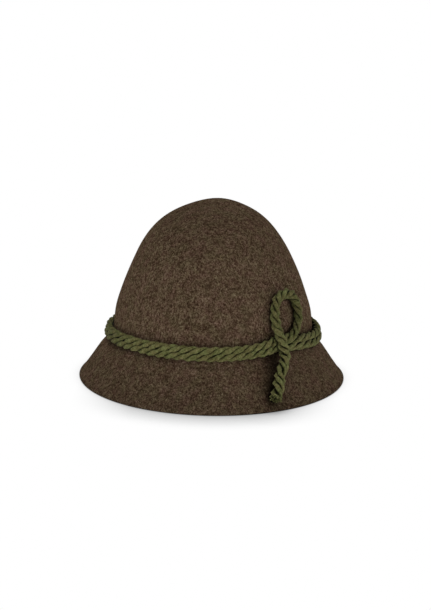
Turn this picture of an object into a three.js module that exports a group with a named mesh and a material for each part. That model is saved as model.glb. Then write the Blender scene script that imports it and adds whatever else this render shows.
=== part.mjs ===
// A felt hat with a domed crown and a steep turned-down brim in one piece. A thick twisted cord goes
// twice round the foot of the crown, and ends in a tall loop and a short hanging tail.
//
// Millimetres, +Z up. +X is the wearer's left and -Y the front. The origin is the middle of the rim's
// oval, on the surface that the hat rests on.

import * as THREE from 'three';

// Felt: one shell of even thickness, an oval at every height
const FELT_THICKNESS = 2.5;
const ROOT_HALF_WIDTH = 84; // half the hat's width where the brim leaves the crown
const DEEPER_BY = 17; // half the depth less half the width, from the brim's root down to the rim
const AROUND = 60; // faces round the hat
const RINGS = 22; // rows of faces from the rim to the top

// Cord: pulled tight in the band and thicker where it hangs free, with a little air between it and the
// felt's flat faces. Each turn of the band is pressed flat where it lies against the other.
const BAND_DIAMETER = 6.4;
const BAND_FLAT = 2.2; // from the middle of a turn of the band to its flat side
const LOOP_DIAMETER = 7.2;
const CORD_SIDES = 10;
const AIR = 0.6;
const BAND_STEPS = 50;
const LOOP_STEPS = 40;

const FELT_COLOUR = 0x4b3d2e;
const CORD_COLOUR = 0x4d4b2e;

// The felt's outer face, from the rim to the top: half width of the oval at each height, and how far
// the oval's middle sits to the wearer's left, because the soft crown leans a little
const SECTIONS = [
  { height: 0.0, halfWidth: 108.7, shift: 0.0 },
  { height: 10.5, halfWidth: 101.0, shift: 0.0 },
  { height: 22.5, halfWidth: 92.8, shift: 0.0 },
  { height: 28.0, halfWidth: 87.8, shift: 0.2 },
  { height: 32.0, halfWidth: 84.2, shift: 0.3 },
  { height: 39.0, halfWidth: 81.7, shift: 0.6 },
  { height: 56.5, halfWidth: 79.4, shift: 0.5 },
  { height: 70.5, halfWidth: 75.1, shift: 0.2 },
  { height: 84.5, halfWidth: 69.9, shift: 0.0 },
  { height: 97.5, halfWidth: 64.1, shift: -0.4 },
  { height: 107.5, halfWidth: 59.0, shift: -0.7 },
  { height: 117.5, halfWidth: 52.5, shift: -0.8 },
  { height: 126.5, halfWidth: 44.6, shift: -0.5 },
  { height: 134.0, halfWidth: 34.9, shift: 0.1 },
  { height: 140.0, halfWidth: 23.0, shift: 0.9 },
  { height: 144.0, halfWidth: 11.0, shift: 1.7 },
  { height: 145.4, halfWidth: 0.0, shift: 2.2 },
];

// The band's two turns: height of the felt behind each at each turn, in degrees from the front towards
// the wearer's left. Both are pulled up at the crossing and lie lower at the sides and the back. The
// upper turn stops on each side of the crossing, and the lower one closes on itself under it.
const BAND_LINE = [
  { turn: 46, upper: 46.2, lower: 41.2 },
  { turn: 53, upper: 44.6, lower: 39.6 },
  { turn: 60, upper: 44.2, lower: 38.4 },
  { turn: 72, upper: 42.8, lower: 36.2 },
  { turn: 90, upper: 41.2, lower: 34.4 },
  { turn: 120, upper: 39.8, lower: 33.6 },
  { turn: 180, upper: 39.0, lower: 33.2 },
  { turn: 240, upper: 39.0, lower: 33.0 },
  { turn: 260, upper: 39.2, lower: 33.3 },
  { turn: 278, upper: 40.1, lower: 34.4 },
  { turn: 300, upper: 41.9, lower: 36.3 },
  { turn: 320, upper: 43.1, lower: 38.0 },
  { turn: 340, upper: 43.7, lower: 38.5 },
  { turn: 365, upper: 43.7, lower: 38.6 },
  { turn: 380, upper: 44.4, lower: 39.4 },
  { turn: 390, upper: 45.9, lower: 40.6 },
  { turn: 398, upper: 48.6, lower: 42.8 },
  { turn: 406, upper: 48.5, lower: 41.2 },
];
const UPPER_TURN_START = 53;
const UPPER_TURN_END = 398.4;
const LOWER_TURN_START = 46;
const LOWER_TURN_END = 405.8;

// The loop and tail's middle line, from the upper turn's end under the crossing, up the right leg of the
// loop, over its top, down the left leg, across the band and down the brim: turn in degrees from the
// front, height of the felt behind the cord, and how far the cord stands clear of that felt
const LOOP_LINE = [
  { turn: 38.7, height: 49.0, clear: 0.0 },
  { turn: 42.2, height: 49.2, clear: 0.0 },
  { turn: 45.5, height: 50.0, clear: 0.0 },
  { turn: 48.8, height: 51.4, clear: 0.0 },
  { turn: 51.9, height: 53.3, clear: 0.0 },
  { turn: 54.6, height: 56.2, clear: 0.1 },
  { turn: 57.4, height: 60.6, clear: 0.1 },
  { turn: 58.6, height: 65.8, clear: 0.2 },
  { turn: 58.2, height: 71.6, clear: 0.6 },
  { turn: 56.3, height: 76.0, clear: 0.8 },
  { turn: 52.5, height: 78.8, clear: 1.0 },
  { turn: 48.2, height: 79.1, clear: 0.8 },
  { turn: 44.3, height: 76.9, clear: 0.4 },
  { turn: 41.7, height: 72.0, clear: 0.1 },
  { turn: 40.2, height: 65.6, clear: 0.2 },
  { turn: 39.6, height: 59.3, clear: 2.2 },
  { turn: 39.2, height: 53.5, clear: 6.0 },
  { turn: 39.2, height: 48.5, clear: 7.2 },
  { turn: 39.6, height: 43.0, clear: 7.6 },
  { turn: 40.2, height: 36.5, clear: 7.0 },
  { turn: 40.2, height: 31.5, clear: 4.6 },
  { turn: 39.6, height: 27.7, clear: 2.4 },
  { turn: 38.1, height: 25.2, clear: 1.5 },
  { turn: 36.4, height: 22.8, clear: 1.0 },
  { turn: 35.1, height: 20.2, clear: 0.6 },
  { turn: 34.1, height: 17.3, clear: 0.4 },
  { turn: 33.4, height: 14.3, clear: 0.3 },
  { turn: 32.3, height: 11.5, clear: 0.2 },
  { turn: 30.6, height: 8.9, clear: 0.2 },
  { turn: 29.3, height: 5.8, clear: 0.3 },
];

// A smooth curve through the sections. One more section, the mirror of the last but one, follows the
// top, so that the curve crosses the top level.
function feltProfile() {
  const rows = SECTIONS.map((row) => new THREE.Vector3(row.halfWidth, row.shift, row.height));
  const top = SECTIONS[SECTIONS.length - 1];
  const nearTop = SECTIONS[SECTIONS.length - 2];
  rows.push(new THREE.Vector3(-nearTop.halfWidth, 2 * top.shift - nearTop.shift, nearTop.height));
  return new THREE.CatmullRomCurve3(rows, false, 'catmullrom', 0.5);
}

const profile = feltProfile();
const profileEnd = (SECTIONS.length - 1) / SECTIONS.length; // the curve's parameter at the top

// The profile's parameter at a height, by halving
function profileAtHeight(height) {
  let low = 0;
  let high = profileEnd;
  for (let step = 0; step < 40; step += 1) {
    const middle = (low + high) / 2;
    if (profile.getPoint(middle).z < height) {
      low = middle;
    } else {
      high = middle;
    }
  }
  return (low + high) / 2;
}

// The point of the felt's outer face at a parameter of the profile and a turn in degrees
function feltPoint(parameter, turn) {
  const section = profile.getPoint(parameter);
  const halfWidth = Math.max(section.x, 0);
  const halfDepth = halfWidth + DEEPER_BY * Math.min(1, halfWidth / ROOT_HALF_WIDTH);
  const angle = THREE.MathUtils.degToRad(turn);
  return new THREE.Vector3(
    section.y + halfWidth * Math.sin(angle),
    -halfDepth * Math.cos(angle),
    section.z,
  );
}

// The outward direction of the felt's outer face, from points a little to each side
function feltNormal(parameter, turn) {
  const nudge = 0.002;
  const sideways = feltPoint(parameter, turn + 0.5).sub(feltPoint(parameter, turn - 0.5));
  const below = feltPoint(Math.max(parameter - nudge, 0), turn);
  const above = feltPoint(Math.min(parameter + nudge, profileEnd - nudge), turn);
  return sideways.cross(above.sub(below)).normalize();
}

// The place of a cord's middle that stands off the felt
function aboveFelt(turn, height, lift) {
  const parameter = profileAtHeight(height);
  const normal = feltNormal(parameter, turn);
  return feltPoint(parameter, turn).addScaledVector(normal, lift);
}

// Crown and brim: an outer and an inner face joined at the rim by a flat ring that rests on the surface
function feltGeometry() {
  const positions = [];
  const faces = [];
  const put = (point) => positions.push(point.x, point.y, point.z) / 3 - 1;

  const ringOf = (pointAt) => {
    const ring = [];
    for (let k = 0; k < AROUND; k += 1) {
      ring.push(put(pointAt((360 * k) / AROUND)));
    }
    return ring;
  };
  const innerPoint = (parameter, turn) => {
    const normal = feltNormal(parameter, turn);
    return feltPoint(parameter, turn).addScaledVector(normal, -FELT_THICKNESS);
  };
  const innerRimPoint = (turn) => {
    const normal = feltNormal(0, turn);
    const level = Math.hypot(normal.x, normal.y);
    const inset = FELT_THICKNESS / level ** 2;
    return feltPoint(0, turn).sub(new THREE.Vector3(normal.x * inset, normal.y * inset, 0));
  };

  const outer = [];
  const inner = [ringOf(innerRimPoint)];
  for (let row = 0; row < RINGS; row += 1) {
    const parameter = (profileEnd * row) / RINGS;
    outer.push(ringOf((turn) => feltPoint(parameter, turn)));
    if (row > 0) {
      inner.push(ringOf((turn) => innerPoint(parameter, turn)));
    }
  }
  const top = feltPoint(profileEnd, 0);
  const outerTop = put(top);
  const innerTop = put(top.clone().setZ(top.z - FELT_THICKNESS));

  const skin = (rings, tip, outward) => {
    const add = (a, b, c) => faces.push(...(outward ? [a, b, c] : [a, c, b]));
    for (let k = 0; k < AROUND; k += 1) {
      const next = (k + 1) % AROUND;
      for (let row = 0; row + 1 < rings.length; row += 1) {
        add(rings[row][k], rings[row][next], rings[row + 1][next]);
        add(rings[row][k], rings[row + 1][next], rings[row + 1][k]);
      }
      const last = rings[rings.length - 1];
      add(last[k], last[next], tip);
    }
  };
  skin(outer, outerTop, true);
  skin(inner, innerTop, false);
  for (let k = 0; k < AROUND; k += 1) {
    const next = (k + 1) % AROUND;
    faces.push(outer[0][k], inner[0][k], inner[0][next]);
    faces.push(outer[0][k], inner[0][next], outer[0][next]);
  }

  const geometry = new THREE.BufferGeometry();
  geometry.setAttribute('position', new THREE.Float32BufferAttribute(positions, 3));
  geometry.setIndex(faces);
  geometry.computeVertexNormals();
  return geometry;
}

// A round cord along a smooth curve through points
function cordGeometry(points, diameter, steps) {
  const section = new THREE.Shape();
  for (let k = 0; k < CORD_SIDES; k += 1) {
    const angle = (2 * Math.PI * k) / CORD_SIDES;
    const x = (diameter / 2) * Math.cos(angle);
    const y = (diameter / 2) * Math.sin(angle);
    if (k === 0) {
      section.moveTo(x, y);
    } else {
      section.lineTo(x, y);
    }
  }
  const path = new THREE.CatmullRomCurve3(points, false, 'centripetal');
  return new THREE.ExtrudeGeometry(section, { steps, bevelEnabled: false, extrudePath: path });
}

// The height of one turn of the band, 'upper' or 'lower', straight between the rows of its table
function bandHeight(turn, level) {
  const next = Math.max(1, BAND_LINE.findIndex((row) => row.turn >= turn));
  const from = BAND_LINE[next - 1];
  const to = BAND_LINE[next];
  return THREE.MathUtils.mapLinear(turn, from.turn, to.turn, from[level], to[level]);
}

// One turn of the band, with its flat side towards the other turn: below the upper one, above the lower
function bandTurnGeometry(start, end, level) {
  const radius = BAND_DIAMETER / 2;
  const middleAt = (turn) => aboveFelt(turn, bandHeight(turn, level), radius + AIR);
  const positions = [];
  for (let step = 0; step <= BAND_STEPS; step += 1) {
    const turn = THREE.MathUtils.lerp(start, end, step / BAND_STEPS);
    const middle = middleAt(turn);
    const outward = feltNormal(profileAtHeight(bandHeight(turn, level)), turn);
    const along = middleAt(Math.min(turn + 1, end)).sub(middleAt(Math.max(turn - 1, start)));
    const upward = outward.clone().cross(along).normalize();
    for (let k = 0; k < CORD_SIDES; k += 1) {
      const angle = (2 * Math.PI * k) / CORD_SIDES;
      const rise = radius * Math.sin(angle);
      const kept = level === 'upper' ? Math.max(rise, -BAND_FLAT) : Math.min(rise, BAND_FLAT);
      const point = middle.clone().addScaledVector(outward, radius * Math.cos(angle));
      positions.push(...point.addScaledVector(upward, kept).toArray());
    }
  }
  const lastRing = BAND_STEPS * CORD_SIDES;
  const startTip = positions.length / 3;
  const endTip = startTip + 1;
  positions.push(...middleAt(start).toArray(), ...middleAt(end).toArray());

  const faces = [];
  for (let k = 0; k < CORD_SIDES; k += 1) {
    const next = (k + 1) % CORD_SIDES;
    for (let ring = 0; ring < lastRing; ring += CORD_SIDES) {
      faces.push(ring + k, ring + CORD_SIDES + k, ring + CORD_SIDES + next);
      faces.push(ring + k, ring + CORD_SIDES + next, ring + next);
    }
    faces.push(k, next, startTip);
    faces.push(lastRing + next, lastRing + k, endTip);
  }
  const geometry = new THREE.BufferGeometry();
  geometry.setAttribute('position', new THREE.Float32BufferAttribute(positions, 3));
  geometry.setIndex(faces);
  geometry.computeVertexNormals();
  return geometry;
}

function loopGeometry() {
  const lift = LOOP_DIAMETER / 2 + AIR;
  const points = LOOP_LINE.map((row) => aboveFelt(row.turn, row.height, lift + row.clear));
  return cordGeometry(points, LOOP_DIAMETER, LOOP_STEPS);
}

function feltMaterial() {
  return new THREE.MeshStandardMaterial({ color: FELT_COLOUR, roughness: 0.95, metalness: 0 });
}

function cordMaterial() {
  return new THREE.MeshStandardMaterial({ color: CORD_COLOUR, roughness: 0.85, metalness: 0 });
}

function named(name, geometry, material) {
  const mesh = new THREE.Mesh(geometry, material);
  mesh.name = name;
  return mesh;
}

const hat = new THREE.Group();
hat.add(named('felt_body', feltGeometry(), feltMaterial()));

const band = new THREE.Group();
band.add(named('band_cord_upper', bandTurnGeometry(UPPER_TURN_START, UPPER_TURN_END, 'upper'), cordMaterial()));
band.add(named('band_cord_lower', bandTurnGeometry(LOWER_TURN_START, LOWER_TURN_END, 'lower'), cordMaterial()));
hat.add(band);

hat.add(named('loop_cord', loopGeometry(), cordMaterial()));

export default hat;
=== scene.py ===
"""The looks of a soft felt hat with a twisted cord band, a loop and a tail, around its CAD frame.

Metres, +Z up, +X the wearer's left and -Y the front. The felt repeats the sections of the CAD
source. The cords follow tables of their own, within a few millimetres of their solids.
"""

import math

import bpy
import numpy as np
from mathutils import Matrix, Vector


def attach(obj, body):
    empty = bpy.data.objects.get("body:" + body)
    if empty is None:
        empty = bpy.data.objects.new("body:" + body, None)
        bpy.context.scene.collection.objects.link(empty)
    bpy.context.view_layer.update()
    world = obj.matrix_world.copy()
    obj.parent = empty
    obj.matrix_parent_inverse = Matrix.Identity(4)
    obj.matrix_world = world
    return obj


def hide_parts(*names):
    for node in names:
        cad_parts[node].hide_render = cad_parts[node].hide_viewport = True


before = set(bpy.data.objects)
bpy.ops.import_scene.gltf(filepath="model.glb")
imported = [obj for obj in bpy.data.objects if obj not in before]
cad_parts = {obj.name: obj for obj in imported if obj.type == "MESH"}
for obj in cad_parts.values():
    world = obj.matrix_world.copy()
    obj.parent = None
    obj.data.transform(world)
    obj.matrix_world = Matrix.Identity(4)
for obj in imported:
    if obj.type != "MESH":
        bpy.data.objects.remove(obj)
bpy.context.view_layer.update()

MM = 0.001

# The felt's outer face, as in the CAD source: the heights of its ovals, half their width, and how
# far their middle lies towards the wearer's left, in millimetres. Half their depth is more by
# DEEPER_BY, and by less where they are narrower than the root of the crown.
FELT_THICKNESS = 2.5 * MM
ROOT_HALF_WIDTH = 84.0 * MM
DEEPER_BY = 17.0 * MM
SECTIONS = MM * np.array([
    (0.0, 108.7, 0.0),
    (10.5, 101.0, 0.0),
    (22.5, 92.8, 0.0),
    (28.0, 87.8, 0.2),
    (32.0, 84.2, 0.3),
    (39.0, 81.7, 0.6),
    (56.5, 79.4, 0.5),
    (70.5, 75.1, 0.2),
    (84.5, 69.9, 0.0),
    (97.5, 64.1, -0.4),
    (107.5, 59.0, -0.7),
    (117.5, 52.5, -0.8),
    (126.5, 44.6, -0.5),
    (134.0, 34.9, 0.1),
    (140.0, 23.0, 0.9),
    (144.0, 11.0, 1.7),
    (145.4, 0.0, 2.2),
])
LAST_PLACE = len(SECTIONS) - 1.0

# The band's two turns of cord: turns in degrees from the front towards the wearer's left, and the
# height in millimetres of the felt behind each cord. Both are pressed into the felt by BAND_SINK.
BAND_RADIUS = 3.4 * MM
BAND_SINK = 0.2 * MM
BAND_COLUMNS = ("turn", "upper", "lower")
BAND_LINE = np.array([
    (38, 47.3, 42.4),
    (46, 45.6, 41.0),
    (53, 44.3, 39.6),
    (60, 44.0, 38.5),
    (72, 41.6, 35.9),
    (90, 39.2, 34.0),
    (120, 37.8, 33.0),
    (180, 37.8, 32.9),
    (240, 37.9, 33.0),
    (260, 38.2, 33.6),
    (278, 39.2, 34.8),
    (300, 41.4, 36.4),
    (320, 42.4, 37.7),
    (340, 42.6, 38.0),
    (365, 42.6, 38.1),
    (380, 43.3, 38.9),
    (390, 44.7, 40.1),
    (398, 47.3, 42.4),
])

# The loop and its tail: turns in degrees, the height of the felt behind, how far a cord of
# LOOP_RADIUS stands clear of the felt, and the cord's own radius there, in millimetres
LOOP_RADIUS = 3.55 * MM
LOOP_LINE = np.array([
    (35.6, 47.4, 0.0, 3.1),
    (38.8, 48.0, 0.0, 3.2),
    (42.5, 47.6, 0.6, 3.3),
    (45.3, 48.1, 1.6, 3.4),
    (48.6, 49.5, 1.6, 3.5),
    (51.8, 51.8, 0.8, 3.6),
    (54.6, 55.5, 0.2, 3.6),
    (57.1, 60.4, 0.1, 3.6),
    (58.0, 66.0, 0.2, 3.6),
    (57.6, 71.7, 0.6, 3.6),
    (56.3, 76.0, 0.8, 3.7),
    (52.5, 78.8, 1.0, 3.7),
    (47.9, 79.2, 0.8, 3.7),
    (43.8, 77.0, 0.4, 3.6),
    (40.8, 72.2, 0.1, 3.5),
    (39.1, 65.8, 0.2, 3.5),
    (38.5, 59.5, 1.0, 3.5),
    (38.5, 52.7, 3.0, 3.5),
    (38.8, 48.3, 4.8, 3.6),
    (39.2, 44.6, 5.2, 3.8),
    (39.9, 40.3, 5.4, 4.0),
    (40.2, 34.4, 4.8, 4.2),
    (39.4, 28.5, 4.0, 4.2),
    (37.8, 25.7, 3.4, 4.2),
    (36.1, 23.2, 3.0, 4.2),
    (34.6, 20.6, 2.6, 4.2),
    (33.6, 17.7, 2.2, 4.3),
    (32.9, 14.6, 1.8, 4.4),
    (31.9, 11.9, 1.4, 4.4),
    (30.8, 9.4, 1.2, 4.5),
    (29.9, 7.2, 1.2, 4.5),
])

# The camera's place, read from the hat's outline in the photograph, with its azimuth and elevation
# in degrees, and its sensor in millimetres
CAMERA_TARGET = Vector((1.9, 0.0, 57.6)) * MM
CAMERA_DISTANCE = 1200.0 * MM
CAMERA_AZIMUTH = 2.7
CAMERA_ELEVATION = 12.1
CAMERA_ROLL = math.radians(1.23)
CAMERA_NEAR, CAMERA_FAR = 0.01, 50.0
FOCAL_PIXELS = 1465.0
IMAGE_HEIGHT_PIXELS = 610.0
SENSOR = 36.0

# Soft square lights that face LIGHT_AIM: azimuth and elevation in degrees, distance and side in
# metres, and watts
LIGHT_AIM = Vector((0.0, 0.0, 0.06))
LIGHTS = {
    "light_left": (-74, 62, 1.7, 0.8, 8.6),
    "light_front": (-8, 14, 1.7, 0.8, 4.9),
    "light_right": (52, 34, 1.9, 0.25, 2.6),
    "light_side": (92, 24, 1.8, 0.35, 5.9),
    "light_top": (180, 75, 1.7, 1.0, 3.6),
    "light_back_right": (165, 25, 1.8, 1.0, 5.5),
    "light_back_left": (-165, 25, 1.8, 1.0, 5.5),
}


# Camera and light


def direction(azimuth, elevation):
    """The unit direction at degrees from the front towards the wearer's left, and at degrees up."""
    a, e = math.radians(azimuth), math.radians(elevation)
    return Vector((math.sin(a) * math.cos(e), -math.cos(a) * math.cos(e), math.sin(e)))


def make_camera():
    """The photograph's camera, turned by its roll about the line of sight."""
    azimuth = math.radians(CAMERA_AZIMUTH)
    back = direction(CAMERA_AZIMUTH, CAMERA_ELEVATION)
    level = Vector((math.cos(azimuth), math.sin(azimuth), 0.0))
    upward = back.cross(level)
    right = math.cos(CAMERA_ROLL) * level + math.sin(CAMERA_ROLL) * upward
    above = math.cos(CAMERA_ROLL) * upward - math.sin(CAMERA_ROLL) * level
    camera = bpy.data.objects.new("camera", bpy.data.cameras.new("camera"))
    camera.data.sensor_width = SENSOR
    camera.data.lens = FOCAL_PIXELS * SENSOR / IMAGE_HEIGHT_PIXELS
    camera.data.clip_start = CAMERA_NEAR
    camera.data.clip_end = CAMERA_FAR
    turn = Matrix((right, above, back)).transposed().to_4x4()
    camera.matrix_world = Matrix.Translation(CAMERA_TARGET + CAMERA_DISTANCE * back) @ turn
    bpy.context.scene.collection.objects.link(camera)
    bpy.context.scene.camera = camera


def make_lights():
    for name, (azimuth, elevation, distance, side, watts) in LIGHTS.items():
        light = bpy.data.lights.new(name, "AREA")
        light.energy = watts
        light.size = side
        back = direction(azimuth, elevation)
        box = bpy.data.objects.new(name, light)
        box.location = LIGHT_AIM + distance * back
        box.rotation_euler = back.to_track_quat("Z", "Y").to_euler()
        bpy.context.scene.collection.objects.link(box)


def make_world():
    """A white background that is seen but lights nothing."""
    world = bpy.data.worlds.new("white")
    bpy.context.scene.world = world
    world.use_nodes = True
    background = world.node_tree.nodes["Background"]
    background.inputs["Color"].default_value = (1.0, 1.0, 1.0, 1.0)
    background.inputs["Strength"].default_value = 1.0
    world.cycles_visibility.diffuse = False
    world.cycles_visibility.glossy = False


# Node materials

MIX_SHARE, MIX_FIRST, MIX_SECOND, MIX_RESULT = 0, 6, 7, 2
CORNER_MAP = "strand"


def srgb(red, green, blue):
    """A display colour, 0 to 255 a channel, as a linear colour with alpha."""
    share = np.array([red, green, blue]) / 255.0
    linear = np.where(share <= 0.04045, share / 12.92, ((share + 0.055) / 1.055) ** 2.4)
    return (*linear.tolist(), 1.0)


def add_node(tree, kind, inputs=None, **settings):
    """One shader node. Its inputs are given by name or number, as values or as nodes' outputs."""
    made = tree.nodes.new(kind)
    for name, value in settings.items():
        setattr(made, name, value)
    for name, value in (inputs or {}).items():
        if isinstance(value, bpy.types.NodeSocket):
            tree.links.new(value, made.inputs[name])
        else:
            made.inputs[name].default_value = value
    return made


def maths(tree, operation, first, second=0.0):
    inputs = {0: first, 1: second}
    return add_node(tree, "ShaderNodeMath", inputs, operation=operation).outputs[0]


def remap(tree, value, low, high, to_low=0.0, to_high=1.0):
    inputs = {
        "Value": value,
        "From Min": low,
        "From Max": high,
        "To Min": to_low,
        "To Max": to_high,
    }
    return add_node(tree, "ShaderNodeMapRange", inputs).outputs["Result"]


def noise(tree, where, scale, detail=2.0, roughness=0.5):
    inputs = {"Vector": where, "Scale": scale, "Detail": detail, "Roughness": roughness}
    return add_node(tree, "ShaderNodeTexNoise", inputs).outputs["Fac"]


def mix_colours(tree, share, first, second, blend="MIX"):
    inputs = {MIX_SHARE: share, MIX_FIRST: first, MIX_SECOND: second}
    made = add_node(tree, "ShaderNodeMix", inputs, data_type="RGBA", blend_type=blend)
    return made.outputs[MIX_RESULT]


def multiplied(tree, first, *others):
    for other in others:
        first = mix_colours(tree, 1.0, first, other, "MULTIPLY")
    return first


def ramp(tree, value, stops):
    """A colour ramp from (place, colour) stops. A colour is three channels or one grey."""
    made = add_node(tree, "ShaderNodeValToRGB", {"Fac": value})
    band = made.color_ramp
    while len(band.elements) < len(stops):
        band.elements.new(0.5)
    for element, (place, colour) in zip(band.elements, stops):
        element.position = place
        element.color = srgb(*np.broadcast_to(colour, 3))
    return made.outputs["Color"]


def new_material(name):
    """A node material, its tree and its shader."""
    material = bpy.data.materials.new(name)
    material.use_nodes = True
    tree = material.node_tree
    return material, tree, tree.nodes["Principled BSDF"]


def object_places(tree):
    """The place in metres, as a vector and as its three axes."""
    place = add_node(tree, "ShaderNodeTexCoord").outputs["Object"]
    return place, add_node(tree, "ShaderNodeSeparateXYZ", {0: place}).outputs


def stretched(tree, where, scale, turn=(0.0, 0.0, 0.0)):
    """Coordinates turned and scaled, so that a pattern runs longer one way."""
    inputs = {"Vector": where, "Scale": scale, "Rotation": turn}
    return add_node(tree, "ShaderNodeMapping", inputs).outputs["Vector"]


def summed(tree, *parts):
    """Noises about 0.5, each times its weight, added up about 0.5."""
    total = None
    for value, weight in parts:
        part = maths(tree, "MULTIPLY", maths(tree, "SUBTRACT", value, 0.5), weight)
        total = part if total is None else maths(tree, "ADD", total, part)
    return maths(tree, "ADD", total, 0.5)


def fibre_lines(tree, where, scale, thinness):
    """Thin curling lines, where a noise crosses its middle value."""
    waves = noise(tree, where, scale, detail=1.5, roughness=0.6)
    offset = maths(tree, "ABSOLUTE", maths(tree, "SUBTRACT", waves, 0.5))
    return remap(tree, offset, 0.0, thinness, 1.0, 0.0)


def openness(tree, reach, normal=None):
    """Less than 1 where something stands within reach, on the side that the normal faces."""
    inputs = {"Distance": reach}
    if normal is not None:
        inputs["Normal"] = normal
    return add_node(tree, "ShaderNodeAmbientOcclusion", inputs).outputs["AO"]


def set_rough(shader, specular):
    shader.inputs["Roughness"].default_value = 1.0
    shader.inputs["Specular IOR Level"].default_value = specular


def link_bump(tree, shader, height, strength, depth):
    inputs = {"Height": height, "Strength": strength, "Distance": depth}
    bump = add_node(tree, "ShaderNodeBump", inputs)
    tree.links.new(bump.outputs["Normal"], shader.inputs["Normal"])


# The felt's colours: by its tone, the tints over them, and its pale and dark fibres
FELT_TONES = [
    (0.0, (42, 26, 15)),
    (0.25, (68, 51, 38)),
    (0.5, (97, 79, 64)),
    (0.75, (128, 109, 92)),
    (1.0, (159, 140, 121)),
]
FELT_REDDISH, FELT_GREENISH = (255, 244, 243), (248, 255, 238)
FELT_PALE, FELT_DARK = (146, 128, 98), (46, 32, 22)

# Painted light and shade by height, a share of FELT_HEIGHT: darker brim and top, paler under the
# band
FELT_HEIGHT = 0.15
FELT_PAINTED_LIGHT_BY_HEIGHT = [
    (0.0, 217),
    (0.07, 220),
    (0.14, 222),
    (0.2, 250),
    (0.3, 238),
    (0.65, 234),
    (0.9, 222),
]

# The felt's shade close to the cord. It looks towards the wearer's left by FELT_SHADE_LEAN, so
# that it lies on the cord's other side, the wearer's right. It is thin, but deep by the tail,
# which it gets to over these X and these Z.
FELT_SHADE_REACH = 0.015
FELT_SHADE_LEAN = (0.75, 0.0, 0.2)
FELT_SHADE_THIN = [(0.2, 150), (0.5, 255)]
FELT_SHADE_DEEP = [(0.3, 70), (0.6, 185), (0.84, 255)]
TAIL_STARTS_X = (0.02, 0.04)
TAIL_STARTS_Z = (0.054, 0.04)


def felt_fibres(tree, place, colour, wavy):
    """Pale fibres of two directions and dark ones of a third over a colour, in patches."""
    crossed = stretched(tree, place, (0.5, 1.0, 0.8), (0.4, 0.2, 0.7))
    strewn = stretched(tree, place, (1.0, 0.6, 0.9), (0.9, 0.1, 0.3))
    # Where and how fine the lines are, how fine the patches, over which of their noise the lines
    # come in, how strong they get, and their colour
    for where, scale, thinness, patches, from_to, most, fibre in (
        (wavy, 560.0, 0.022, 290.0, (0.47, 0.6), 0.55, FELT_PALE),
        (crossed, 430.0, 0.022, 240.0, (0.47, 0.6), 0.5, FELT_PALE),
        (strewn, 520.0, 0.02, 270.0, (0.5, 0.62), 0.6, FELT_DARK),
    ):
        lines = fibre_lines(tree, where, scale, thinness)
        there = remap(tree, noise(tree, place, patches, detail=1.0), *from_to, 0.0, most)
        share = maths(tree, "MULTIPLY", lines, there)
        colour = mix_colours(tree, share, colour, srgb(*fibre))
    return colour


def felt_shade(tree, axes):
    """The shade on the felt close to the cord."""
    facing = add_node(tree, "ShaderNodeNewGeometry").outputs["Normal"]
    inputs = {0: facing, 1: FELT_SHADE_LEAN}
    leaning = add_node(tree, "ShaderNodeVectorMath", inputs, operation="ADD").outputs[0]
    close = openness(tree, FELT_SHADE_REACH, leaning)
    thin = ramp(tree, close, FELT_SHADE_THIN)
    deep = ramp(tree, close, FELT_SHADE_DEEP)
    left = remap(tree, axes["X"], *TAIL_STARTS_X)
    low = remap(tree, axes["Z"], *TAIL_STARTS_Z)
    return mix_colours(tree, maths(tree, "MULTIPLY", left, low), thin, deep)


def felt_material():
    """Wool felt: a fine grain of browns and olives, with paler and darker curling fibres, painted
    light and shade by height, and painted shade close to the cord.
    """
    material, tree, shader = new_material("felt")
    place, axes = object_places(tree)
    wavy = stretched(tree, place, (1.0, 1.0, 0.7), (0.3, 0.2, 0.4))
    grain = noise(tree, place, 1250.0, detail=1.0, roughness=0.6)
    curl = noise(tree, wavy, 760.0, detail=0.0)
    clump = noise(tree, place, 330.0, detail=0.0)
    cloud = noise(tree, place, 110.0, detail=1.0)
    tone = summed(tree, (grain, 1.35), (curl, 0.75), (clump, 0.36), (cloud, 0.2))
    hue = remap(tree, noise(tree, place, 120.0, roughness=0.6), 0.35, 0.65)
    tint = mix_colours(tree, hue, srgb(*FELT_REDDISH), srgb(*FELT_GREENISH))
    # Painted light and shade by height: darker on the brim and at the top, paler just under the
    # band
    painted_light_by_height = ramp(tree, remap(tree, axes["Z"], 0.0, FELT_HEIGHT), FELT_PAINTED_LIGHT_BY_HEIGHT)
    colour = multiplied(tree, ramp(tree, tone, FELT_TONES), tint, painted_light_by_height)
    colour = felt_fibres(tree, place, colour, wavy)
    colour = multiplied(tree, colour, felt_shade(tree, axes))
    tree.links.new(colour, shader.inputs["Base Color"])
    set_rough(shader, 0.0)
    link_bump(tree, shader, tone, 0.6, 0.6 * MM)
    return material


# The cord's colours, the painted shade that darkens it from a strand's back down into the groove,
# and the painted shade of the next strand
CORD_TONES = [
    (0.2, (76, 73, 43)),
    (0.4, (103, 101, 66)),
    (0.6, (122, 120, 82)),
    (0.8, (143, 141, 101)),
]
CORD_YELLOWISH, CORD_GREENISH = (255, 250, 238), (246, 255, 234)
CORD_PAINTED_GROOVE_SHADE = [(0.0, 255), (0.2, 248), (0.26, (230, 230, 226)), (0.31, (195, 195, 185))]
CORD_SHADE_REACH = 0.004
CORD_SHADE = [(0.3, (80, 80, 68)), (0.82, 255)]

# Painted shade makes the loop, which stands over the band, a little darker, and the band at both
# sides too: by its X as a share of the way from -CORD_HALF_WIDTH to CORD_HALF_WIDTH
LOOP_STARTS_Z = (0.044, 0.06)
CORD_PAINTED_SHADE_BY_HEIGHT = [(0.0, 255), (1.0, 236)]
CORD_HALF_WIDTH = 0.1
CORD_PAINTED_SHADE_BY_SIDE = [(0.05, 214), (0.13, 227), (0.22, 255), (0.75, 255), (0.86, 238)]


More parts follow.
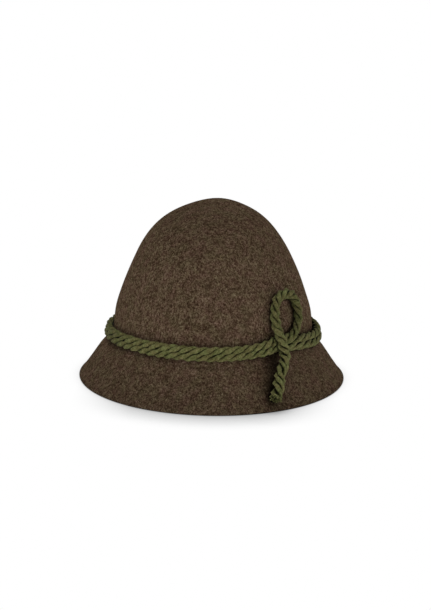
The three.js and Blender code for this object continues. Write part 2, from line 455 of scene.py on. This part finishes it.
def cord_material():
    """Soft green yarn: fine lines along each strand, with painted shade from its back down into the
    grooves.
    """
    material, tree, shader = new_material("cord")
    along = add_node(tree, "ShaderNodeUVMap", uv_map=CORNER_MAP).outputs["UV"]
    place, axes = object_places(tree)
    drawn_out = stretched(tree, along, (260.0, 26.0, 1.0))
    lines = noise(tree, drawn_out, 1.0, roughness=0.6)
    cloud = noise(tree, place, 380.0, detail=1.0, roughness=0.6)
    specks = noise(tree, place, 1050.0, detail=1.0, roughness=0.6)
    tone = summed(tree, (lines, 0.7), (cloud, 0.6), (specks, 0.9))
    hue = remap(tree, noise(tree, place, 200.0, detail=1.0), 0.4, 0.6)
    tint = mix_colours(tree, hue, srgb(*CORD_YELLOWISH), srgb(*CORD_GREENISH))
    around = maths(tree, "FRACT", add_node(tree, "ShaderNodeSeparateXYZ", {0: along}).outputs["Y"])
    from_back = maths(tree, "ABSOLUTE", maths(tree, "SUBTRACT", around, 0.5))
    sideways = remap(tree, axes["X"], -CORD_HALF_WIDTH, CORD_HALF_WIDTH)
    colour = multiplied(
        tree,
        ramp(tree, tone, CORD_TONES),
        tint,
        # Painted shade on the loop by its height, and at the band's sides by X
        ramp(tree, remap(tree, axes["Z"], *LOOP_STARTS_Z), CORD_PAINTED_SHADE_BY_HEIGHT),
        ramp(tree, sideways, CORD_PAINTED_SHADE_BY_SIDE),
        # Painted shade in the grooves, then painted shade of the next strand
        ramp(tree, from_back, CORD_PAINTED_GROOVE_SHADE),
        ramp(tree, openness(tree, CORD_SHADE_REACH), CORD_SHADE),
    )
    tree.links.new(colour, shader.inputs["Base Color"])
    set_rough(shader, 0.05)
    shader.inputs["Sheen Weight"].default_value = 0.02
    link_bump(tree, shader, lines, 0.5, 0.4 * MM)
    return material


# The floor's painted shadow: a thin one at the rim, and a wide one that looks towards the back by
# FLOOR_LEAN, so that it lies in front of the hat, and that fades over these distances from X = 0
FLOOR_THIN_REACH, FLOOR_WIDE_REACH = 0.014, 0.04
FLOOR_THIN = [(0.5, 214), (0.95, 255)]
FLOOR_WIDE = [(0.45, 166), (0.97, 255)]
FLOOR_LEAN = (0.0, 0.8, 0.6)
FLOOR_WIDE_ENDS = (0.055, 0.105)


def floor_material():
    """Plain white, with painted shadow where something stands close over it."""
    material, tree, _ = new_material("floor")
    _, axes = object_places(tree)
    inputs = {0: FLOOR_LEAN}
    leaning = add_node(tree, "ShaderNodeVectorMath", inputs, operation="NORMALIZE").outputs[0]
    wide = ramp(tree, openness(tree, FLOOR_WIDE_REACH, leaning), FLOOR_WIDE)
    thin = ramp(tree, openness(tree, FLOOR_THIN_REACH), FLOOR_THIN)
    aside = remap(tree, maths(tree, "ABSOLUTE", axes["X"]), *FLOOR_WIDE_ENDS)
    wide = mix_colours(tree, aside, wide, srgb(255, 255, 255))
    glow = add_node(tree, "ShaderNodeEmission", {"Color": multiplied(tree, wide, thin)})
    surface = tree.nodes["Material Output"].inputs["Surface"]
    tree.links.new(glow.outputs["Emission"], surface)
    return material


# The felt's surface

PROFILE_SAMPLES = 2001
PLACE_STEP = 0.02
TURN_STEP = 0.5
NORMAL_PLACES = (0.02, len(SECTIONS) - 1.03)


def spline(p0, p1, p2, p3, t):
    """Places at shares t of the way from p1 to p2, on a smooth curve through four points."""
    start, end = (p2 - p0) / 2, (p3 - p1) / 2
    cubic = 2 * p1 - 2 * p2 + start + end
    square = -3 * p1 + 3 * p2 - 2 * start - end
    return ((cubic * t + square) * t + start) * t + p1


def profile(place):
    """Height, half width and shift of the felt's outer face at places counted in sections from
    the rim, on a smooth curve through the sections that crosses the top level."""
    top, near_top = SECTIONS[-1], SECTIONS[-2]
    mirrored = np.array([near_top[0], -near_top[1], 2 * top[2] - near_top[2]])
    before, after = 2 * SECTIONS[0] - SECTIONS[1], 2 * mirrored - top
    rows = np.vstack([before, SECTIONS, mirrored, after])
    place = np.clip(np.asarray(place, float), 0.0, LAST_PLACE)
    first = np.minimum(place.astype(int), len(SECTIONS) - 1)
    found = spline(*(rows[first + k] for k in range(4)), (place - first)[..., None])
    return found[..., 0], np.maximum(found[..., 1], 0.0), found[..., 2]


def felt_point(place, turn):
    """Points of the felt's outer face at places of the profile and turns in degrees."""
    height, half_width, shift = profile(place)
    half_depth = half_width + DEEPER_BY * np.minimum(1.0, half_width / ROOT_HALF_WIDTH)
    angle = np.radians(turn)
    x, y = shift + half_width * np.sin(angle), -half_depth * np.cos(angle)
    return np.stack(np.broadcast_arrays(x, y, height), -1)


def unit(vectors):
    return vectors / np.linalg.norm(vectors, axis=-1, keepdims=True)


def felt_normal(place, turn):
    """The felt's outward direction, taken a little inside the ends of the profile."""
    place = np.clip(place, *NORMAL_PLACES)
    sideways = felt_point(place, turn + TURN_STEP) - felt_point(place, turn - TURN_STEP)
    upward = felt_point(place + PLACE_STEP, turn) - felt_point(place - PLACE_STEP, turn)
    return unit(np.cross(sideways, upward))


def above_felt(turn, height, lift):
    """Points that stand off the felt by lift, over the felt's outer face at a height."""
    places = np.linspace(0.0, LAST_PLACE, PROFILE_SAMPLES)
    place = np.interp(height, profile(places)[0], places)
    return felt_point(place, turn) + lift[:, None] * felt_normal(place, turn)


# Meshes


def new_piece(name, points, faces, material, corners=None):
    """A smooth-shaded mesh piece on the root body, with a map of corner coordinates if given."""
    mesh = bpy.data.meshes.new(name)
    mesh.from_pydata(points.tolist(), [], faces)
    mesh.polygons.foreach_set("use_smooth", [True] * len(mesh.polygons))
    if corners is not None:
        corner_map = mesh.uv_layers.new(name=CORNER_MAP)
        corner_map.data.foreach_set("uv", np.asarray(corners, np.float32).ravel())
    mesh.materials.append(material)
    mesh.update()
    piece = bpy.data.objects.new(name, mesh)
    bpy.context.scene.collection.objects.link(piece)
    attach(piece, "root")
    return piece


def grid_faces(rows, columns, offset=0):
    """Quads between rows of vertices that close round their columns."""
    row, column = np.meshgrid(np.arange(rows - 1), np.arange(columns), indexing="ij")
    following = (column + 1) % columns
    quads = np.stack([
        row * columns + column,
        row * columns + following,
        (row + 1) * columns + following,
        (row + 1) * columns + column,
    ], -1)
    return (quads.reshape(-1, 4) + offset).tolist()


def tip_faces(first_row, last_row, columns, first_tip, last_tip):
    """Triangles that close a grid's first and last row, each round a point of its own."""
    faces = []
    for k in range(columns):
        following = (k + 1) % columns
        faces.append([first_row + following, first_row + k, first_tip])
        faces.append([last_row + k, last_row + following, last_tip])
    return faces


# The rim's edge is rounded up to RIM_ROUND, and inwards by a share of that. Its flat underside is
# wider than the felt's level cut by RIM_WIDER. The felt's waves begin over the rim.
FELT_AROUND = 300
FELT_ROWS = 150
SWELL = 0.28 * MM
SWELL_FULL_AT = 12 * MM
RIM_ROUND = 0.9 * MM
RIM_ROUND_DEPTH = 0.6
RIM_WIDER = 0.2 * MM
RIM_ARC_STEPS = 5


def soft_swell(points):
    """Small slow waves in the felt, a fraction of a millimetre, from a few crossing ripples."""
    x, y, z = (points / MM).T
    waves = np.sin(x / 17 + 0.8 * np.sin(z / 23)) * np.sin(y / 21 + 1.3)
    return SWELL * (waves + 0.7 * np.sin(z / 15 + x / 31 - y / 27))


def rim_rows(outer, normal):
    """The inner edge of the flat rim, then the rounded edge from below up to the outer face."""
    level = unit(normal * np.array([1.0, 1.0, 0.0]))
    wide = FELT_THICKNESS / np.linalg.norm(normal[:, :2], axis=1, keepdims=True)
    rows = [outer - (wide + RIM_WIDER) * level]
    for step in range(RIM_ARC_STEPS):
        angle = math.pi / 2 * step / (RIM_ARC_STEPS - 1)
        inward = RIM_ROUND * (1 - math.sin(angle)) * RIM_ROUND_DEPTH
        upward = np.array([0.0, 0.0, RIM_ROUND * (1 - math.cos(angle))])
        rows.append(outer - inward * level + upward)
    return rows


def make_felt(material):
    """Inner face, flat underside of the rim, rounded rim and outer face: one closed skin."""
    turns = np.arange(FELT_AROUND) * 360.0 / FELT_AROUND
    places = np.linspace(0.0, LAST_PLACE, FELT_ROWS + 1)[:-1]
    place, turn = np.meshgrid(places, turns, indexing="ij")
    outer = felt_point(place, turn)
    normal = felt_normal(place, turn)
    height = outer[..., 2]
    rise = np.clip(height / SWELL_FULL_AT, 0.0, 1.0)
    swell = soft_swell(outer.reshape(-1, 3)).reshape(height.shape) * rise
    outer = outer + swell[..., None] * normal
    inner = outer - FELT_THICKNESS * normal
    rim = rim_rows(outer[0], normal[0])
    inner = inner[inner[:, :, 2].min(axis=1) > RIM_ROUND]
    outer = outer[outer[:, :, 2].min(axis=1) > RIM_ROUND]
    rows = [*inner[::-1], *rim, *outer]
    points = np.concatenate(rows)
    tip = felt_point(np.array([LAST_PLACE]), np.array([0.0]))[0]
    last_row = (len(rows) - 1) * FELT_AROUND
    faces = grid_faces(len(rows), FELT_AROUND)
    faces += tip_faces(0, last_row, FELT_AROUND, len(points), len(points) + 1)
    points = np.vstack([points, tip - [0, 0, FELT_THICKNESS], tip])
    shell = new_piece("felt_shell", points, faces, material)
    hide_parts("felt_body")


# Twisted cord. A strand's place and half width are shares of the cord's radius. It is wider by
# STRAND_LENS and thinner by STRAND_BULGE where it faces out of the hat, and the other way round
# at the cord's edges. Out is the way from the hat's upright axis, weighed by FACES_OUT.
STRANDS = 3
STRAND_SIDES = 28
STRAND_MIDDLE = 0.5
STRAND_WIDE = 0.53
STRAND_LENS = 0.2
STRAND_BULGE = 0.18
STRAND_MAP_STEP = 0.37
FACES_OUT = np.array([0.5, 1.0, 0.0])
YARNS = 6
YARN_RELIEF = 0.035
YARN_PITCH = 16.0 * MM
RING_STEP = 0.6 * MM
CURVE_STEPS = 24
NEARLY_UPRIGHT = 0.1

# Random changes along a strand: their size in a tight cord, what a loose one adds, and the rings
# from one to the next
ANGLE_WANDERS = (0.11, 0.18, 12)
MIDDLE_WANDERS = (0.02, 0.03, 15)
WIDTH_WANDERS = (0.07, 0.04, 11)
LOOSE_MIDDLE = 0.04
LOOSE_THINNER = 0.03
LOOSE_BUMPS = 1.2
BUMPS = 0.05 * MM
BUMP_RIPPLES = 7
BUMP_LENGTHS = (1.6, 4.5)
BUMP_TURNS = (-4, 5)

# The length of one winding of the band's cord at the front, the first strand's turn in radians at
# the start, and how many times as long a winding is at turns in degrees: it is slacker at the sides
# and the back
BAND_PITCH = 24.5 * MM
BAND_TURNED = 0.4
BAND_SAMPLES = 720
BAND_SMOOTHING = 14
BAND_SEED = 11
BAND_SLACK = np.array([
    (38, 1.3),
    (50, 1.5),
    (80, 1.5),
    (110, 1.25),
    (250, 1.25),
    (275, 1.7),
    (291, 1.9),
    (304, 1.55),
    (318, 1.2),
    (335, 1.0),
    (398, 1.0),
])

# The same for the loop, and for the tail, which has shorter windings and looser strands. The one
# passes into the other between these shares of the way.
LOOP_PITCH = 23.5 * MM
TAIL_PITCH = 20.5 * MM
PITCH_PASSES = (0.6, 0.72)
LOOP_LOOSE = 0.2
TAIL_LOOSE = 1.0
LOOSE_PASSES = (0.55, 0.68)
LOOP_TURNED = 0.3
LOOP_SMOOTHING = 8
LOOP_SEED = 23

# Yarn ends at the cut: the turn in radians from one to the next, how far back they start, how far
# out as a share of the radius, how far they spread and stray, their length and half thickness in
# millimetres, how much longer they are in the middle and shorter at the edge, their outline from
# start to tip, a direction that none of them has, and their places on the map
END_YARNS = 54
END_SIDES = 8
END_TURN = 2.4
END_TURN_WANDERS = 0.2
END_BACK = 1.6 * MM
END_OUT = 0.86
END_SPREAD = (0.1, 0.45)
END_STRAY = 0.2
END_LENGTH = (2.6, 3.8)
END_THICK = (0.42, 0.6)
END_MIDDLE_LONGER = 1.15
END_EDGE_SHORTER = 0.35
END_OUTLINE = (1.0, 1.05, 1.0, 0.75, 0.25)
END_RINGS = len(END_OUTLINE)
END_ASKEW = (0.3, 0.5, 0.8)
END_MAP_STEP = 0.01
END_MAP_SIDE = 0.5


def length_of(points):
    return float(np.linalg.norm(np.diff(points, axis=0), axis=1).sum())


def even_steps(points, step):
    """Points a step apart along a line of points, with any further columns carried along."""
    parts = np.linalg.norm(np.diff(points[:, :3], axis=0), axis=1)
    gone = np.concatenate([[0.0], np.cumsum(parts)])
    count = max(2, round(gone[-1] / step) + 1)
    wanted = np.linspace(0.0, gone[-1], count)
    return np.stack([np.interp(wanted, gone, column) for column in points.T], -1)


def smooth_curve(knots, step):
    """Points a step apart along a smooth curve through knots."""
    ends = [2 * knots[0] - knots[1], *knots, 2 * knots[-1] - knots[-2]]
    t = np.linspace(0.0, 1.0, CURVE_STEPS, endpoint=False)[:, None]
    rows = [spline(*four, t) for four in zip(ends, ends[1:], ends[2:], ends[3:])]
    return even_steps(np.vstack([*rows, knots[-1]]), step)


def smoothed(values, reach):
    window = np.hanning(2 * reach + 1)
    return np.convolve(np.pad(values, reach, mode="edge"), window / window.sum(), mode="valid")


def carried_frames(points):
    """Tangents and two directions across them, carried along the route without twisting."""
    tangents = unit(np.gradient(points, axis=0))
    across = np.zeros_like(points)
    start = np.cross(tangents[0], [0.0, 0.0, 1.0])
    upright = np.linalg.norm(start) <= NEARLY_UPRIGHT
    across[0] = unit(np.cross(tangents[0], [1.0, 0.0, 0.0]) if upright else start)
    for k in range(1, len(points)):
        kept = across[k - 1] - tangents[k] * (across[k - 1] @ tangents[k])
        across[k] = kept / np.linalg.norm(kept)
    return tangents, across, np.cross(tangents, across)


def slow_noise(count, spacing, rng):
    """Smooth random numbers of about unit size along a route, changing every so many rings."""
    knots = rng.normal(size=count // spacing + 4)
    at = np.arange(count) / spacing + 1
    low = at.astype(int)
    share = at - low
    share = share * share * (3 - 2 * share)
    return knots[low] * (1 - share) + knots[low + 1] * share


def wandering(loose, rng, tight_size, loose_size, spacing):
    """Slow random changes along a strand, larger where it is loose."""
    return (tight_size + loose_size * loose) * slow_noise(len(loose), spacing, rng)


def ripples(along, around, rng, size):
    """Soft irregular bumps of about a size over a strand's skin, from crossing ripples."""
    total = np.zeros(np.broadcast_shapes(along.shape, around.shape))
    for _ in range(BUMP_RIPPLES):
        waves = 2 * math.pi / (rng.uniform(*BUMP_LENGTHS) * MM)
        turns = rng.integers(*BUMP_TURNS)
        total = total + np.sin(waves * along + turns * around + rng.uniform(0, 2 * math.pi))
    return size * total / math.sqrt(BUMP_RIPPLES / 2)


def strand_corners(gone, strand):
    """Corner coordinates of a strand: metres along it, shifted so that no two strands show the
    same lines, and turns round it from a whole number of its own. The tips have none."""
    ring, k = np.meshgrid(np.arange(len(gone) - 1), np.arange(STRAND_SIDES), indexing="ij")
    low, high = k / STRAND_SIDES, (k + 1) / STRAND_SIDES
    here, there = gone[ring], gone[ring + 1]
    quads = np.stack([here, low, here, high, there, high, there, low], -1)
    quads = quads.reshape(-1, 2) + [STRAND_MAP_STEP * strand, strand]
    return np.vstack([quads, np.zeros((2 * 3 * STRAND_SIDES, 2))])


def twisted_strands(route, pitch, radius, rng, turned=0.0, loose=0.0):
    """Vertices, faces and corner coordinates of the strands that wind round a route. Pitch, radius
    and how loose they are, 0 to 1, are one number or one for each point of the route."""
    count = len(route)
    pitch = np.broadcast_to(pitch, count)
    radius = np.broadcast_to(radius, count)
    loose = np.broadcast_to(loose, count)
    step = length_of(route) / (count - 1)
    _, across, over = carried_frames(route)
    wound = turned - 2 * math.pi * np.concatenate([[0.0], np.cumsum(step / pitch[1:])])
    gone = np.arange(count) * step
    outside = unit(route * FACES_OUT)
    faced = np.arctan2((outside * over).sum(axis=1), (outside * across).sum(axis=1))
    side = 2 * math.pi * np.arange(STRAND_SIDES) / STRAND_SIDES
    yarns = YARNS * side[None, :] + math.pi * gone[:, None] / YARN_PITCH * YARNS
    lobe = 1 + YARN_RELIEF * np.cos(yarns)
    points, faces, corners = [], [], []
    for strand in range(STRANDS):
        angle = wound + 2 * math.pi * strand / STRANDS + wandering(loose, rng, *ANGLE_WANDERS)
        cosine, sine = np.cos(angle)[:, None], np.sin(angle)[:, None]
        outward = cosine * across + sine * over
        sideways = cosine * over - sine * across
        middle = STRAND_MIDDLE + LOOSE_MIDDLE * loose + wandering(loose, rng, *MIDDLE_WANDERS)
        middle = radius * middle
        fat = radius * (1 - LOOSE_THINNER * loose + wandering(loose, rng, *WIDTH_WANDERS))
        bumps = ripples(gone[:, None], side[None, :], rng, BUMPS)
        bumps = bumps * (1 + LOOSE_BUMPS * loose[:, None])
        lens = np.cos(2 * (angle - faced))
        half_deep = fat * (1 - STRAND_MIDDLE) * (1 - STRAND_BULGE * lens)
        half_wide = fat * STRAND_WIDE * (1 + STRAND_LENS * lens)
        deep = middle[:, None] - (half_deep[:, None] * lobe + bumps) * np.cos(side)[None, :]
        wide = (half_wide[:, None] * lobe + bumps) * np.sin(side)[None, :]
        grid = route[:, None] + deep[..., None] * outward[:, None]
        grid = grid + wide[..., None] * sideways[:, None]
        tips = route[[0, -1]] + middle[[0, -1], None] * outward[[0, -1]]
        first = strand * (count * STRAND_SIDES + 2)
        last_row, first_tip = first + (count - 1) * STRAND_SIDES, first + count * STRAND_SIDES
        points.extend([grid.reshape(-1, 3), tips])
        faces += grid_faces(count, STRAND_SIDES, first)
        faces += tip_faces(first, last_row, STRAND_SIDES, first_tip, first_tip + 1)
        corners.append(strand_corners(gone, strand))
    return np.vstack(points), faces, np.vstack(corners)


def yarn_end(start, heading, length, thick):
    """Rings of one yarn end from its start to its blunt tip."""
    side = 2 * math.pi * np.arange(END_SIDES) / END_SIDES
    one = unit(np.cross(heading, END_ASKEW))
    two = np.cross(heading, one)
    circle = np.cos(side)[:, None] * one + np.sin(side)[:, None] * two
    rings = []
    for ring, wide in enumerate(END_OUTLINE):
        share = ring / (END_RINGS - 1)
        rings.append(start + share * length * heading + thick * wide * circle)
    return np.concatenate(rings)


def cut_end(route, radius, rng):
    """Short yarn ends that stand out of the cord's cut end and spread a little."""
    tangents, across, over = (rows[-1] for rows in carried_frames(route))
    points, faces, corners = [], [], []
    for number in range(END_YARNS):
        out = math.sqrt((number + 0.5) / END_YARNS)
        angle = END_TURN * number + rng.uniform(-END_TURN_WANDERS, END_TURN_WANDERS)
        away = math.cos(angle) * across + math.sin(angle) * over
        start = route[-1] - END_BACK * tangents + END_OUT * radius * out * away
        spread = out * rng.uniform(*END_SPREAD) * away
        heading = unit(tangents + spread + END_STRAY * rng.normal(size=3))
        longer = END_MIDDLE_LONGER - END_EDGE_SHORTER * out * out
        length = rng.uniform(*END_LENGTH) * MM * longer
        points.append(yarn_end(start, heading, length, rng.uniform(*END_THICK) * MM))
        first = number * END_RINGS * END_SIDES
        last_row = first + (END_RINGS - 1) * END_SIDES
        made = grid_faces(END_RINGS, END_SIDES, first)
        made.append(list(range(first + END_SIDES - 1, first - 1, -1)))
        made.append(list(range(last_row, last_row + END_SIDES)))
        faces += made
        corner_count = sum(len(face) for face in made)
        corners.append(np.tile([END_MAP_STEP * number, END_MAP_SIDE], (corner_count, 1)))
    return np.vstack(points), faces, np.vstack(corners)


def joined(first, second):
    """Two sets of vertices, faces and corner coordinates as one."""
    moved = [[corner + len(first[0]) for corner in face] for face in second[1]]
    return np.vstack([first[0], second[0]]), first[1] + moved, np.vstack([first[2], second[2]])


def band_route(column):
    """The route of one turn of the band, from the crossing round to the crossing, and the turn in
    degrees at each of its points."""
    turns = np.linspace(BAND_LINE[0, 0], BAND_LINE[-1, 0], BAND_SAMPLES)
    heights = np.interp(turns, BAND_LINE[:, 0], BAND_LINE[:, column])
    lift = np.full(len(turns), BAND_RADIUS - BAND_SINK)
    points = above_felt(turns, smoothed(heights, BAND_SMOOTHING) * MM, lift)
    route = even_steps(np.column_stack([points, turns]), RING_STEP)
    return route[:, :3], route[:, 3]


def make_band(material):
    """Both turns wind as often round, so that the strands of one lie beside those of the other."""
    rng = np.random.default_rng(BAND_SEED)
    routes = {level: band_route(BAND_COLUMNS.index(level)) for level in ("upper", "lower")}
    full = length_of(routes["upper"][0])
    for level, (route, turns) in routes.items():
        pitch = BAND_PITCH * np.interp(turns, *BAND_SLACK.T) * length_of(route) / full
        points, faces, corners = twisted_strands(route, pitch, BAND_RADIUS, rng, BAND_TURNED)
        piece = new_piece(f"band_{level}", points, faces, material, corners)
        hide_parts(f"band_cord_{level}")


def make_loop(material):
    """The loop and the tail as one cord, which is bare at its cut end."""
    rng = np.random.default_rng(LOOP_SEED)
    turn, height, clear, radius = LOOP_LINE.T
    knots = above_felt(turn, height * MM, LOOP_RADIUS + clear * MM)
    route = smooth_curve(list(np.column_stack([knots, radius * MM])), RING_STEP)
    route, radius = route[:, :3], smoothed(route[:, 3], LOOP_SMOOTHING)
    share = np.linspace(0.0, 1.0, len(route))
    pitch = np.interp(share, PITCH_PASSES, (LOOP_PITCH, TAIL_PITCH))
    loose = np.interp(share, LOOSE_PASSES, (LOOP_LOOSE, TAIL_LOOSE))
    strands = twisted_strands(route, pitch, radius, rng, LOOP_TURNED, loose)
    points, faces, corners = joined(strands, cut_end(route, radius[-1], rng))
    piece = new_piece("loop_and_tail", points, faces, material, corners)
    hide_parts("loop_cord")


# Floor

FLOOR_REACH = 6.0


def make_floor():
    corners = [(-1, -1, 0), (1, -1, 0), (1, 1, 0), (-1, 1, 0)]
    mesh = bpy.data.meshes.new("floor")
    mesh.from_pydata([FLOOR_REACH * Vector(corner) for corner in corners], [], [(0, 1, 2, 3)])
    mesh.materials.append(floor_material())
    floor = bpy.data.objects.new("floor", mesh)
    bpy.context.scene.collection.objects.link(floor)


bpy.context.scene.view_settings.view_transform = "Standard"
make_camera()
felt = felt_material()
cord = cord_material()
make_loop(cord)
make_band(cord)
make_felt(felt)
make_world()
make_lights()
make_floor()
